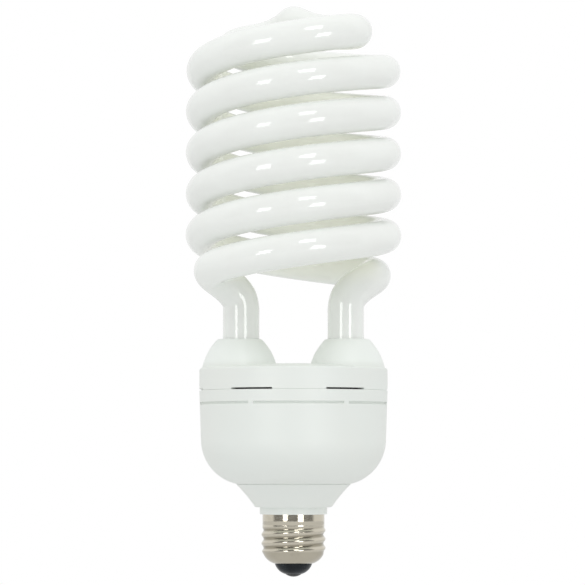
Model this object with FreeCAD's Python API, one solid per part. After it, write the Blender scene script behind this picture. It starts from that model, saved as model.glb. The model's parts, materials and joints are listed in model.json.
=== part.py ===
import FreeCAD, Part
import math
import os

# Spiral energy saving bulb with a medium screw base, in millimetres.
# Origin at the tip of the centre contact, +Z up along the lamp's axis, legs of the tube in the XZ plane.
V = FreeCAD.Vector
axis_up = V(0, 0, 1)

# Screw base
thread_pitch = 3.629
thread_crest_radius = 13.15
thread_root_radius = 12.25
thread_bottom = 8.9
thread_top = 20.9
thread_fade = 2.2
shell_ring_count = 24
shell_patch_rows = 12
lip_arc_count = 10
straight_count = 52
shell_wall = 0.35
shell_top = 25.5
shell_lip_radius = 7.9
shell_lip_height = 5.4
shell_lip_round = 6.7
shell_lip_angle = -74.7
contact_tip_radius = 1.5
contact_radius = 2.9
contact_height = 0.9
contact_shank_radius = 1.1
contact_gap = 0.05
rivet_radius = 1.9
rivet_height = 0.6
insulator_lip_gap = 0.2
insulator_shoulder_gap = 0.35
insulator_plug_radius = 8.6
insulator_plug_height = 3.2
insulator_crown = 0.6

# Lower housing
housing_radius = 38.6
housing_top = 75.9
housing_draft = 0.7
housing_wall = 1.8
shoulder_height = 56.0
shoulder_round = 18.63
shoulder_middle_angle = -38.0
crease_inset = 14.9
crease_height = 37.9
crease_step = 0.3
flare_sag = 0.25
neck_radius = 15.7
neck_height = 28.4
collar_radius = 13.8
spigot_gap = 0.1
spigot_wall = 1.6
spigot_bottom = 13.0
spigot_step = 0.6
groove_bottom = 70.15
groove_height = 1.0
groove_depth = 0.9
groove_tab_width = 2.4
vent_count = 6
vent_phase = -26.5
rib_count = 4
rib_phase = 0.0
rib_thickness = 1.8
rib_depth = 4.2
rib_length = 14.0

# Upper cover
cover_height = 9.2
cover_wall = 1.6
cover_edge_round = 0.9
seam_bevel = 0.25
notch_height = 0.9
notch_angle = 29.0
lip_gap = 0.2
lip_wall = 1.4
lip_depth = 4.2
bead_drop = 2.2
bead_half_height = 0.8
bead_depth = 0.6
holder_offset = 22.1
holder_height = 12.0
holder_top_radius = 9.0
holder_base_radius = 15.3
holder_bulge = 0.65
leg_gap = 0.3

# Glass tube
coil_radius = 37.4
arm_pitch = 34.04
coil_tube_radius = 7.0
leg_radius = 7.5
leg_offset = 21.5
leg_straight_rise = 12.7
coil_start_rise = 12.9
bend_leg_handle = 11.5
bend_coil_handle = 20.4
coil_start_angle = 38.0
coil_end_angle = 945.0
easing_start_angle = 787.0
easing_full_angle = 940.0
easing_depth = 0.35
turn_inset = 3.8
turn_angle = -42.1
turn_rise = 8.8
turn_slope = 0.094
turn_coil_handle = 21.0
turn_in_handle = 17.0
turn_out_handle = 12.5
bridge_rise = 10.8
bridge_heading = 123.0
bridge_handle = 13.5
cold_spot_rise = 5.1
cold_spot_spread = 9.7
seal_drop = 4.6
seal_length = 6.0
seal_width = 6.2
seal_half_thickness = 2.2
tube_point_count = 16
tube_patch_rows = 10
leg_count = 12
bend_count = 12
coil_count = 96
turn_count = 14
bridge_count = 12
seal_count = 5

# Cement round the legs
cement_gap = 0.1
cement_length = 8.0

# Circuit board and the posts on it
board_edge_gap = 0.2
board_thickness = 1.6
board_drop = 9.9
post_spread = 8.0
post_width = 1.1
post_height = 6.0
solder_radius = 1.2
solder_tip_radius = 0.5
solder_height = 0.8
solder_inset = 1.5

# Electrolytic capacitor
bulk_radius = 8.0
bulk_length = 25.0
bulk_edge_round = 1.0
bulk_groove_drop = 3.0
bulk_groove_depth = 0.7
bulk_groove_half_height = 0.9
bulk_share = (0.0, -0.086)

# Ballast choke
choke_width = 18.0
choke_core_depth = 5.0
choke_height = 15.0
choke_back = 3.0
choke_side_leg = 3.0
choke_centre_leg = 5.0
choke_bobbin_gap = 0.1
choke_bobbin_wall = 0.7
choke_winding_gap = 0.05
choke_winding_build = 2.2
choke_winding_round = 1.76
choke_share = (0.543, 0.4)

# Ring transformer
toroid_radius = 5.2
toroid_bore = 2.6
toroid_height = 4.4
toroid_wire_radius = 0.25
toroid_wire_gap = 0.05
toroid_turns = 7
toroid_wound_angle = 310.0
turn_step_count = 12
wire_point_count = 6
toroid_share = (-0.429, 0.429)
toroid_board_gap = 0.1

# Transistors
transistor_width = 7.8
transistor_depth = 3.0
transistor_height = 11.0
transistor_leg_length = 4.0
transistor_leg_width = 0.8
transistor_leg_pitch = 2.3
transistor_hole_radius = 1.6
transistor_hole_drop = 7.2
transistor_shares = {"transistor_high": (0.029, 0.429), "transistor_low": (0.029, 0.657)}

# Film capacitors, each with its place, width, depth and height
film_edge_round = 0.9
film_capacitors = {
    "film_capacitor_a": ((-0.671, 0.086), 12.0, 5.2, 10.5),
    "film_capacitor_b": ((-0.629, -0.229), 12.0, 5.0, 10.0),
    "resonance_capacitor": ((0.543, -0.3), 13.0, 6.0, 12.0),
}

# Filter inductor
filter_radius = 4.5
filter_waist = 3.2
filter_flange = 1.2
filter_height = 10.0
filter_wire_gap = 0.05
filter_share = (-0.314, -0.571)

# Thermistor
thermistor_radius = 4.0
thermistor_thickness = 3.0
thermistor_drop = 1.5
thermistor_lead_radius = 0.35
thermistor_lead_spread = 2.5
thermistor_share = (0.143, -0.571)

# Rectifier diodes
diode_radius = 1.35
diode_length = 5.0
diode_span = 9.0
diode_lead_radius = 0.4
diode_board_gap = 0.1
diode_pitch = 3.6
diode_count = 4
diode_row_angle = 33.0
diode_share = (0.46, -0.7)

# Wires
supply_wire_radius = 0.45
supply_bend = 3.0
live_share = (0.229, 0.229)
live_turn_low = 31.0
live_turn_high = 42.0
fuse_radius = 2.4
fuse_length = 9.0
fuse_bottom = 15.5
fuse_edge_round = 0.6
neutral_share = (-0.271, 0.214)
neutral_neck_offset = 7.5
neutral_turn_low = 33.0
neutral_turn_high = 44.0
neutral_end_height = 11.4
neutral_wall_gap = 0.15
neutral_bend = 1.0
filament_wire_radius = 0.3
filament_spread = 2.6
filament_drop = 2.5
filament_bend = 0.9
filament_grip = 3.2
filament_grip_drop = 0.6

# Worked-out places
quarter_share = 1 - math.sqrt(0.5)
housing_bore = housing_radius - housing_wall
crease_radius = housing_radius - crease_inset
lip_outer = housing_bore - lip_gap
board_radius = lip_outer - lip_wall - board_edge_gap
board_height = housing_top - board_drop
board_top = board_height + board_thickness
deck_height = housing_top + cover_height
holder_top = deck_height + holder_height
seal_bottom = deck_height - seal_drop
leg_straight_top = holder_top + leg_straight_rise
coil_start_height = leg_straight_top + coil_start_rise
coil_end_height = coil_start_height + arm_pitch * coil_end_angle / 360
bridge_height = coil_end_height + bridge_rise
thread_mid_radius = (thread_crest_radius + thread_root_radius) / 2
thread_swing = (thread_crest_radius - thread_root_radius) / 2
fuse_top = fuse_bottom + fuse_length
plug_bottom = shell_lip_height + shell_wall + insulator_shoulder_gap
plug_top = plug_bottom + insulator_plug_height
bead_height = housing_top - bead_drop
leg_places = {"left": V(-leg_offset, 0, 0), "right": V(leg_offset, 0, 0)}


def at_angle(radius, angle, height):
    return V(radius * math.cos(math.radians(angle)), radius * math.sin(math.radians(angle)), height)


def on_board(share):
    # A place in plan, given in shares of the board's radius.
    return V(share[0] * board_radius, share[1] * board_radius, 0)


turn_point = at_angle(coil_radius - turn_inset, turn_angle, coil_end_height + turn_rise)
bulk_place = on_board(bulk_share)
choke_place = on_board(choke_share)
toroid_place = on_board(toroid_share)
filter_place = on_board(filter_share)
thermistor_place = on_board(thermistor_share)
diode_place = on_board(diode_share)
live_place = on_board(live_share)
neutral_place = on_board(neutral_share)


def turned(start, *steps):
    # Revolve a closed (radius, height) outline. A step of two points is an arc through the first.
    here = V(start[0], 0, start[1])
    edges = []
    for step in list(steps) + [start]:
        if isinstance(step[0], tuple):
            middle = V(step[0][0], 0, step[0][1])
            there = V(step[1][0], 0, step[1][1])
            edges.append(Part.Arc(here, middle, there).toShape())
        else:
            there = V(step[0], 0, step[1])
            if here.distanceToPoint(there) < 1e-7:
                continue
            edges.append(Part.LineSegment(here, there).toShape())
        here = there
    return Part.Face(Part.Wire(edges)).revolve(V(0, 0, 0), axis_up, 360)


def moved(shape, place):
    copy = shape.copy()
    copy.translate(place)
    return copy


def turned_about_axis(shape, angle):
    copy = shape.copy()
    copy.rotate(V(0, 0, 0), axis_up, angle)
    return copy


def box_about(place, width, depth, bottom, top):
    # A block centred on place in plan, between two heights.
    return Part.makeBox(width, depth, top - bottom, V(place.x - width / 2, place.y - depth / 2, bottom))


def rod(radius, bottom, top, place=V(0, 0, 0)):
    return Part.makeCylinder(radius, top - bottom, V(place.x, place.y, bottom))


def tube(outer, inner, bottom, top, place=V(0, 0, 0)):
    return rod(outer, bottom, top, place).cut(rod(inner, bottom - 1, top + 1, place))


def sector(radius, bottom, top, centre_angle, width_angle):
    wedge = Part.makeCylinder(radius, top - bottom, V(0, 0, bottom), axis_up, width_angle)
    return turned_about_axis(wedge, centre_angle - width_angle / 2)


def save(name, shape):
    shape.exportStep("parts/" + name + ".step")
    print(name, len(shape.Solids), shape.isValid(), round(shape.Volume, 1))


def pulled_out(before, point, after):
    # The control point that makes a smooth cubic curve pass through a point instead of inside it.
    return point - (before + after - point * 2) * (1 / 6)


def control_points(rings):
    # Control points of a surface through a stack of closed rings.
    count = len(rings[0])
    sideways = []
    for ring in rings:
        sideways.append([pulled_out(ring[i - 1], ring[i], ring[(i + 1) % count]) for i in range(count)])
    rows = [sideways[0]]
    for low, ring, high in zip(sideways[:-2], sideways[1:-1], sideways[2:]):
        rows.append([pulled_out(low[i], ring[i], high[i]) for i in range(count)])
    rows.append(sideways[-1])
    return rows


def skin(rings, rows_per_span):
    # Smooth faces over a stack of closed rings of points, in half rings and in spans of a few rows.
    # The two end loops come back too, each as its two half-ring edges.
    rows = list(range(len(rings) - 2))
    sides = list(range(len(rings[0]) + 1))
    row_repeats = [4] + [1] * (len(rows) - 2) + [4]
    side_repeats = [1] * len(sides)
    surface = Part.BSplineSurface()
    poles = control_points(rings)
    surface.buildFromPolesMultsKnots(poles, row_repeats, side_repeats, rows, sides, False, True, 3, 3)
    half = sides[len(sides) // 2]
    cuts = rows[:-rows_per_span // 2:rows_per_span] + [rows[-1]]
    faces = []
    for low, high in zip(cuts[:-1], cuts[1:]):
        for left, right in ((sides[0], half), (half, sides[-1])):
            patch = surface.copy()
            patch.segment(low, high, left, right)
            faces.append(patch.toShape())
    loops = []
    for row in (rows[0], rows[-1]):
        loop = surface.uIso(row)
        loops.append([loop.toShape(sides[0], half), loop.toShape(half, sides[-1])])
    return faces, loops


def sewn(faces):
    shell = Part.makeShell(faces)
    shell.sewShape()
    solid = Part.makeSolid(shell)
    if solid.Volume < 0:
        solid.reverse()
    return solid


def faded(height):
    # Thread depth from 0 to 1, easing in and out at the thread's two ends.
    rise = (height - thread_bottom) / thread_fade
    fall = (thread_top - height) / thread_fade
    share = max(0.0, min(1.0, rise, fall))
    return share * share * (3 - 2 * share)


def screw_shell_profile():
    # (radius, height) pairs from the turned-in lip up to the rim, before the thread is added.
    start = math.radians(shell_lip_angle)
    centre_radius = shell_lip_radius - shell_lip_round * math.cos(start)
    centre_height = shell_lip_height - shell_lip_round * math.sin(start)
    end = -math.acos((thread_mid_radius - centre_radius) / shell_lip_round)
    points = []
    for step in range(lip_arc_count + 1):
        angle = start + (end - start) * step / lip_arc_count
        radius = centre_radius + shell_lip_round * math.cos(angle)
        height = centre_height + shell_lip_round * math.sin(angle)
        points.append((radius, height))
    straight_bottom = points[-1][1]
    for step in range(1, straight_count + 1):
        height = straight_bottom + (shell_top - straight_bottom) * step / straight_count
        points.append((thread_mid_radius, height))
    return points


def screw_shell_rings(inset):
    rings = []
    profile = screw_shell_profile()
    for index, (radius, height) in enumerate(profile):
        before = profile[max(index - 1, 0)]
        after = profile[min(index + 1, len(profile) - 1)]
        slope = math.hypot(after[0] - before[0], after[1] - before[1])
        out = (after[1] - before[1]) / slope
        down = (after[0] - before[0]) / slope
        ring = []
        for point in range(shell_ring_count):
            angle = 2 * math.pi * point / shell_ring_count
            turn = 2 * math.pi * height / thread_pitch - angle
            wave = thread_swing * faded(height) * math.sin(turn)
            reach = radius + wave - inset * out
            level = height + inset * down
            if index == len(profile) - 1:
                level = height
            ring.append(V(reach * math.cos(angle), reach * math.sin(angle), level))
        rings.append(ring)
    return rings


def make_screw_shell():
    outer, outer_loops = skin(screw_shell_rings(0), shell_patch_rows)
    inner, inner_loops = skin(screw_shell_rings(shell_wall), shell_patch_rows)
    faces = outer + inner
    for outer_loop, inner_loop in zip(outer_loops, inner_loops):
        for outer_edge, inner_edge in zip(outer_loop, inner_loop):
            faces.append(Part.makeRuledSurface(outer_edge, inner_edge))
    return sewn(faces)


def cup_outline():
    # Outer outline of the lower housing's cup from the rim down to the neck's end face.
    arc_end = (crease_radius, crease_height)
    rim_low = (housing_radius - housing_draft, shoulder_height)
    centre_radius = rim_low[0] - shoulder_round
    arc_middle = (
        centre_radius + shoulder_round * math.cos(math.radians(shoulder_middle_angle)),
        shoulder_height + shoulder_round * math.sin(math.radians(shoulder_middle_angle)),
    )
    flare_top = crease_radius - crease_step
    chord_middle = ((flare_top + neck_radius) / 2, (crease_height + neck_height) / 2)
    flare_middle = (chord_middle[0] - flare_sag, chord_middle[1] + flare_sag)
    return rim_low, arc_middle, arc_end, flare_middle


def make_lower_housing():
    rim_low, arc_middle, arc_end, flare_middle = cup_outline()
    wall = housing_wall
    lean = wall * math.sin(math.radians(-shoulder_middle_angle))
    level = wall * math.cos(math.radians(-shoulder_middle_angle))
    spigot_radius = thread_mid_radius - shell_wall - spigot_gap
    spigot_low_radius = thread_root_radius - shell_wall - spigot_gap
    bore = spigot_low_radius - spigot_wall
    cup = turned(
        (housing_radius, housing_top),
        rim_low,
        (arc_middle, arc_end),
        (arc_end[0] - crease_step, arc_end[1]),
        (flare_middle, (neck_radius, neck_height)),
        (collar_radius, neck_height),
        (collar_radius, shell_top),
        (spigot_radius, shell_top),
        (spigot_radius, thread_top + spigot_step / 2),
        (spigot_low_radius, thread_top - spigot_step / 2),
        (spigot_low_radius, spigot_bottom),
        (bore, spigot_bottom),
        (bore, neck_height + wall),
        (flare_middle[0] - wall, flare_middle[1] + level),
        (arc_end[0] - lean, arc_end[1] + wall),
        ((arc_middle[0] - level, arc_middle[1] + lean), (rim_low[0] - wall, rim_low[1])),
        (housing_bore, bead_height - bead_half_height - lip_gap),
        (housing_bore + bead_depth, bead_height),
        (housing_bore, bead_height + bead_half_height + lip_gap),
        (housing_bore, housing_top),
    )
    step_angle = 360.0 / vent_count
    tab_angle = math.degrees(groove_tab_width / housing_radius)
    groove_top = groove_bottom + groove_height
    for vent in range(vent_count):
        middle = -90 + vent_phase + step_angle * (vent + 0.5)
        groove = sector(housing_radius + 1, groove_bottom, groove_top, middle, step_angle - tab_angle)
        cup = cup.cut(groove.cut(rod(housing_radius - groove_depth, groove_bottom - 1, groove_top + 1)))
    for rib in range(rib_count):
        reach = housing_bore + housing_wall / 2
        corner = V(housing_bore - rib_depth, -rib_thickness / 2, board_height - rib_length)
        block = Part.makeBox(rib_depth + housing_wall / 2, rib_thickness, rib_length, corner)
        block = block.common(rod(reach - housing_draft, 0, housing_top))
        cup = cup.fuse(turned_about_axis(block, rib_phase + 360.0 / rib_count * rib))
    return cup.removeSplitter()


def holder_solid(inset):
    # One tube holder, a truncated dome, as a solid shrunk by the inset and standing on the axis.
    top_radius = holder_top_radius - inset
    base_radius = holder_base_radius - inset
    top = holder_top - inset
    bottom = deck_height - cover_wall
    if inset == 0:
        bottom = deck_height - cover_wall / 2
    middle = ((top_radius + base_radius) / 2 + holder_bulge, (top + bottom) / 2 + holder_bulge)
    return turned((0, bottom), (base_radius, bottom), (middle, (top_radius, top)), (0, top))


def make_upper_cover():
    corner = cover_edge_round * quarter_share
    cover = turned(
        (0, deck_height),
        (housing_radius - cover_edge_round, deck_height),
        ((housing_radius - corner, deck_height - corner), (housing_radius, deck_height - cover_edge_round)),
        (housing_radius, housing_top + seam_bevel),
        (housing_radius - seam_bevel, housing_top),
        (lip_outer, housing_top),
        (lip_outer, bead_height + bead_half_height),
        (lip_outer + bead_depth, bead_height),
        (lip_outer, bead_height - bead_half_height),
        (lip_outer, housing_top - lip_depth),
        (lip_outer - lip_wall, housing_top - lip_depth),
        (lip_outer - lip_wall, deck_height - cover_wall),
        (0, deck_height - cover_wall),
    )
    for side in (1, -1):
        cover = cover.fuse(moved(holder_solid(0), V(side * holder_offset, 0, 0)))
    for side in (1, -1):
        place = V(side * holder_offset, 0, 0)
        cover = cover.cut(moved(holder_solid(cover_wall), place))
        cover = cover.cut(rod(leg_radius + leg_gap, deck_height, holder_top + 1, V(side * leg_offset, 0, 0)))
    for vent in range(vent_count):
        middle = -90 + vent_phase + 360.0 / vent_count * vent
        notch = sector(housing_radius + 1, housing_top, housing_top + notch_height, middle, notch_angle)
        inside = rod(lip_outer - lip_wall - 1, housing_top - 1, housing_top + notch_height + 1)
        cover = cover.cut(notch.cut(inside))
    return cover.removeSplitter()


def bezier(points, share):
    # Position and direction on a cubic curve.
    a, b, c, d = points
    rest = 1 - share
    place = a * rest**3 + b * (3 * rest * rest * share) + c * (3 * rest * share * share) + d * share**3
    heading = (b - a) * (3 * rest * rest) + (c - b) * (6 * rest * share) + (d - c) * (3 * share * share)
    return place, heading.normalize()


def coil_point(degrees):
    # A point of the rising arm, whose radius eases inward over the last turn.
    ease = max(0.0, (degrees - easing_start_angle) / (easing_full_angle - easing_start_angle))
    radius = coil_radius - easing_depth * ease * ease
    angle = math.radians(degrees)
    height = coil_start_height + arm_pitch * degrees / 360.0
    return V(radius * math.cos(angle), radius * math.sin(angle), height)


def coil_heading(degrees):
    return (coil_point(degrees + 0.01) - coil_point(degrees - 0.01)).normalize()


def half_path():
    # Centres, headings and tube radii from one leg's seal up to the bridge's middle.
    stations = []
    leg_low = seal_bottom + seal_length
    for step in range(leg_count):
        height = leg_low + (leg_straight_top - leg_low) * step / leg_count
        stations.append((V(leg_offset, 0, height), V(0, 0, 1), leg_radius))
    leg_end = V(leg_offset, 0, leg_straight_top)
    coil_start = coil_point(coil_start_angle)
    bend = (
        leg_end,
        leg_end + V(0, 0, bend_leg_handle),
        coil_start - coil_heading(coil_start_angle) * bend_coil_handle,
        coil_start,
    )
    for step in range(bend_count):
        share = step / bend_count
        place, heading = bezier(bend, share)
        blend = share * share * (3 - 2 * share)
        stations.append((place, heading, leg_radius + (coil_tube_radius - leg_radius) * blend))
    for step in range(coil_count):
        degrees = coil_start_angle + (coil_end_angle - coil_start_angle) * step / coil_count
        stations.append((coil_point(degrees), coil_heading(degrees), coil_tube_radius))
    coil_end = coil_point(coil_end_angle)
    turn_heading = V(0, 1, turn_slope).normalize()
    sweep_in = (
        coil_end,
        coil_end + coil_heading(coil_end_angle) * turn_coil_handle,
        turn_point - turn_heading * turn_in_handle,
        turn_point,
    )
    top = V(0, 0, bridge_height)
    across = at_angle(1, bridge_heading, 0)
    bridge = (turn_point, turn_point + turn_heading * turn_out_handle, top - across * bridge_handle, top)
    for curve, count in ((sweep_in, turn_count), (bridge, bridge_count)):
        for step in range(count):
            place, heading = bezier(curve, step / count)
            stations.append((place, heading, coil_tube_radius))
    return stations, (top, across, coil_tube_radius)


def whole_path():
    # The second half is the first turned by half a turn about the lamp's axis, run backwards.
    rising, middle = half_path()
    falling = []
    for place, heading, radius in reversed(rising):
        falling.append((V(-place.x, -place.y, place.z), V(heading.x, heading.y, -heading.z), radius))
    return rising + [middle] + falling


def tube_ring(place, heading, radius, across):
    # A ring of points about one station, swollen upward near the axis for the cold spot.
    other = heading.cross(across)
    ring = []
    distance = math.hypot(place.x, place.y)
    swell = 0.0
    if place.z > turn_point.z - coil_tube_radius:
        swell = cold_spot_rise * math.exp(-(distance / cold_spot_spread) ** 2)
    for point in range(tube_point_count):
        angle = 2 * math.pi * point / tube_point_count
        out = across * math.cos(angle) + other * math.sin(angle)
        reach = radius + swell * max(0.0, out.z) ** 2
        ring.append(place + out * reach)
    return ring


def seal_ring(ring, centre, height, pinch):
    # A leg ring lowered to a height and squeezed towards the flat pressed seal.
    wide = 1 + (seal_width / leg_radius - 1) * pinch
    thin = 1 + (seal_half_thickness / leg_radius - 1) * pinch
    squeezed = []
    for point in ring:
        out = point - centre
        squeezed.append(V(centre.x + out.x * wide, centre.y + out.y * thin, height))
    return squeezed


def make_glass_spiral():
    stations = whole_path()
    rings = []
    across = V(1, 0, 0)
    for place, heading, radius in stations:
        across = (across - heading * across.dot(heading)).normalize()
        rings.append(tube_ring(place, heading, radius, across))
    first, last = rings[0], rings[-1]
    first_centre, last_centre = stations[0][0], stations[-1][0]
    for step in range(1, seal_count + 1):
        share = step / seal_count
        pinch = share * share * (3 - 2 * share)
        height = first_centre.z - seal_length * share
        rings.insert(0, seal_ring(first, first_centre, height, pinch))
        rings.append(seal_ring(last, last_centre, height, pinch))
    faces, loops = skin(rings, tube_patch_rows)
    for loop in loops:
        faces.append(Part.Face(Part.Wire(loop)))
    return sewn(faces)


def make_base_insulator():
    seat = contact_height + contact_gap
    lip_radius = shell_lip_radius - insulator_lip_gap
    bulge = insulator_crown * math.sqrt(0.5)
    slope_middle = ((contact_radius + lip_radius) / 2 + bulge, (seat + shell_lip_height) / 2 - bulge)
    hole = contact_shank_radius + contact_gap
    return turned(
        (hole, seat),
        (contact_radius, seat),
        (slope_middle, (lip_radius, shell_lip_height)),
        (lip_radius, plug_bottom),
        (insulator_plug_radius, plug_bottom),
        (insulator_plug_radius, plug_top),
        (hole, plug_top),
    )


def make_center_contact():
    edge_middle = (contact_radius - (contact_radius - contact_tip_radius) * quarter_share,
                   contact_height * quarter_share)
    return turned(
        (0, 0),
        (contact_tip_radius, 0),
        (edge_middle, (contact_radius, contact_height)),
        (contact_shank_radius, contact_height),
        (contact_shank_radius, plug_top + contact_gap),
        (rivet_radius, plug_top + contact_gap),
        (rivet_radius, plug_top + contact_gap + rivet_height),
        (0, plug_top + contact_gap + rivet_height),
    )


def make_leg_cement(place):
    # Fills the top of one holder's hollow round the leg.
    holder_place = V(math.copysign(holder_offset, place.x), 0, 0)
    filling = moved(holder_solid(cover_wall + cement_gap), holder_place)
    top = holder_top - cover_wall
    filling = filling.common(rod(holder_base_radius, top - cement_length, top, holder_place))
    return filling.cut(rod(leg_radius + cement_gap, top - cement_length - 1, top + 1, place))


def make_circuit_board():
    return rod(board_radius, board_height, board_top)


def wrap_post_places():
    places = []
    for leg in leg_places.values():
        for side in (1, -1):
            places.append(V(leg.x, side * post_spread, 0))
    return places


def make_wrap_posts():
    posts = []
    for place in wrap_post_places():
        posts.append(box_about(place, post_width, post_width, board_top, board_top + post_height))
    return Part.makeCompound(posts)


def bent_wire(points, radius, bend):
    # A round wire along straight runs, with an arc of one radius at each corner.
    edges = []
    here = points[0]
    for index in range(1, len(points) - 1):
        corner = points[index]
        back = (points[index - 1] - corner).normalize()
        ahead = (points[index + 1] - corner).normalize()
        half_turn = back.getAngle(ahead) / 2
        reach = bend / math.tan(half_turn)
        inward = (back + ahead).normalize()
        middle = corner + inward * (bend / math.sin(half_turn) - bend)
        start = corner + back * reach
        end = corner + ahead * reach
        edges.append(Part.LineSegment(here, start).toShape())
        edges.append(Part.Arc(start, middle, end).toShape())
        here = end
    edges.append(Part.LineSegment(here, points[-1]).toShape())
    heading = points[1] - points[0]
    section = Part.Wire(Part.makeCircle(radius, points[0], heading))
    return Part.Wire(edges).makePipeShell([section], True, False)


def make_filament_lead(leg, side):
    # From the pressed seal down to the outer face of one post, then along that face.
    start_x = leg.x + side * filament_spread
    beside = side * (post_spread - post_width / 2 - filament_wire_radius)
    grip_top = board_top + post_height - filament_grip_drop
    points = [
        V(start_x, 0, seal_bottom),
        V(start_x, 0, seal_bottom - filament_drop),
        V(leg.x, beside, grip_top),
        V(leg.x, beside, grip_top - filament_grip),
    ]
    return bent_wire(points, filament_wire_radius, filament_bend)


def make_bulk_capacitor():
    low = board_height - bulk_length
    groove = board_height - bulk_groove_drop
    corner = bulk_edge_round * quarter_share
    can = turned(
        (0, low),
        (bulk_radius - bulk_edge_round, low),
        ((bulk_radius - corner, low + corner), (bulk_radius, low + bulk_edge_round)),
        (bulk_radius, groove - bulk_groove_half_height),
        ((bulk_radius - bulk_groove_depth, groove), (bulk_radius, groove + bulk_groove_half_height)),
        (bulk_radius, board_height - bulk_edge_round / 2),
        (bulk_radius - bulk_edge_round / 2, board_height),
        (0, board_height),
    )
    return moved(can, bulk_place)


def choke_levels():
    # The window of the core, between its top and bottom backs.
    low = board_height - choke_height + choke_back
    high = board_height - choke_back
    return low, high


def make_choke_core():
    low, high = choke_levels()
    core = box_about(choke_place, choke_width, choke_core_depth, board_height - choke_height, board_height)
    window = (choke_width - choke_centre_leg) / 2 - choke_side_leg
    for side in (1, -1):
        shift = V(side * (choke_centre_leg + window) / 2, 0, 0)
        core = core.cut(box_about(choke_place + shift, window, choke_core_depth + 2, low, high))
    return core


def make_choke_bobbin():
    low, high = choke_levels()
    low += choke_bobbin_gap
    high -= choke_bobbin_gap
    window = (choke_width - choke_centre_leg) / 2 - choke_side_leg
    hole_width = choke_centre_leg + 2 * choke_bobbin_gap
    hole_depth = choke_core_depth + 2 * choke_bobbin_gap
    tube_width = hole_width + 2 * choke_bobbin_wall
    tube_depth = hole_depth + 2 * choke_bobbin_wall
    flange_width = choke_centre_leg + 2 * (window - choke_bobbin_gap)
    flange_depth = tube_depth + flange_width - tube_width
    bobbin = box_about(choke_place, tube_width, tube_depth, low, high)
    for bottom in (low, high - choke_bobbin_wall):
        top = bottom + choke_bobbin_wall
        bobbin = bobbin.fuse(box_about(choke_place, flange_width, flange_depth, bottom, top))
    return bobbin.cut(box_about(choke_place, hole_width, hole_depth, low - 1, high + 1)).removeSplitter()


def make_choke_winding():
    low, high = choke_levels()
    ends = choke_bobbin_gap + choke_bobbin_wall + choke_winding_gap
    inner_width = choke_centre_leg + 2 * (choke_bobbin_gap + choke_bobbin_wall + choke_winding_gap)
    inner_depth = choke_core_depth + 2 * (choke_bobbin_gap + choke_bobbin_wall + choke_winding_gap)
    build = choke_winding_build
    outer_width = inner_width + 2 * build
    outer_depth = inner_depth + 2 * build
    winding = box_about(choke_place, outer_width, outer_depth, low + ends, high - ends)
    upright = [edge for edge in winding.Edges if abs(edge.tangentAt(edge.FirstParameter).z) > 0.9]
    winding = winding.makeFillet(choke_winding_round, upright)
    return winding.cut(box_about(choke_place, inner_width, inner_depth, low, high))


def toroid_sizes():
    # Half width and half height of the winding's loops, and the height of the ring's middle.
    stand_off = toroid_wire_radius + toroid_wire_gap
    loop_half_width = (toroid_radius - toroid_bore) / 2 * math.sqrt(2) + stand_off
    loop_half_height = toroid_height / 2 * math.sqrt(2) + stand_off
    middle = board_height - toroid_board_gap - loop_half_height - toroid_wire_radius
    return loop_half_width, loop_half_height, middle


def make_toroid_core():
    middle = toroid_sizes()[2]
    low = middle - toroid_height / 2
    return tube(toroid_radius, toroid_bore, low, low + toroid_height, toroid_place)


def make_toroid_winding():
    loop_half_width, loop_half_height, middle = toroid_sizes()
    ring_middle = (toroid_radius + toroid_bore) / 2

    def winding_point(share):
        round_ring = math.radians(toroid_wound_angle) * share
        round_loop = 2 * math.pi * toroid_turns * share
        reach = ring_middle + loop_half_width * math.cos(round_loop)
        level = middle + loop_half_height * math.sin(round_loop)
        return toroid_place + V(reach * math.cos(round_ring), reach * math.sin(round_ring), level)

    rings = []
    steps = toroid_turns * turn_step_count
    across = V(0, 1, 0)
    for step in range(steps + 1):
        share = step / steps
        heading = (winding_point(share + 0.0001) - winding_point(share - 0.0001)).normalize()
        across = (across - heading * across.dot(heading)).normalize()
        other = heading.cross(across)
        ring = []
        for corner in range(wire_point_count):
            angle = 2 * math.pi * corner / wire_point_count
            out = across * math.cos(angle) + other * math.sin(angle)
            ring.append(winding_point(share) + out * toroid_wire_radius)
        rings.append(ring)
    faces, loops = skin(rings, turn_step_count)
    for loop in loops:
        faces.append(Part.Face(Part.Wire(loop)))
    return sewn(faces)


def make_transistor(place):
    top = board_height - transistor_leg_length
    low = top - transistor_height
    body = box_about(place, transistor_width, transistor_depth, low, top)
    hole_start = V(place.x, place.y - transistor_depth / 2 - 1, top - transistor_hole_drop)
    hole = Part.makeCylinder(transistor_hole_radius, transistor_depth + 2, hole_start, V(0, 1, 0))
    body = body.cut(hole)
    for side in (-1, 0, 1):
        shift = V(side * transistor_leg_pitch, 0, 0)
        leg = box_about(place + shift, transistor_leg_width, transistor_leg_width, top - 1, board_height)
        body = body.fuse(leg)
    return body.removeSplitter()


def make_film_capacitor(place, width, depth, height):
    body = box_about(place, width, depth, board_height - height, board_height)
    upright = [edge for edge in body.Edges if abs(edge.tangentAt(edge.FirstParameter).z) > 0.9]
    return body.makeFillet(film_edge_round, upright)


def make_filter_inductor():
    low = board_height - filter_height
    drum = turned(
        (0, low),
        (filter_radius, low),
        (filter_radius, low + filter_flange),
        (filter_waist, low + filter_flange),
        (filter_waist, board_height - filter_flange),
        (filter_radius, board_height - filter_flange),
        (filter_radius, board_height),
        (0, board_height),
    )
    return moved(drum, filter_place)


def make_filter_winding():
    low = board_height - filter_height + filter_flange
    high = board_height - filter_flange
    return tube(filter_radius - filter_wire_gap, filter_waist, low, high, filter_place)


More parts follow.
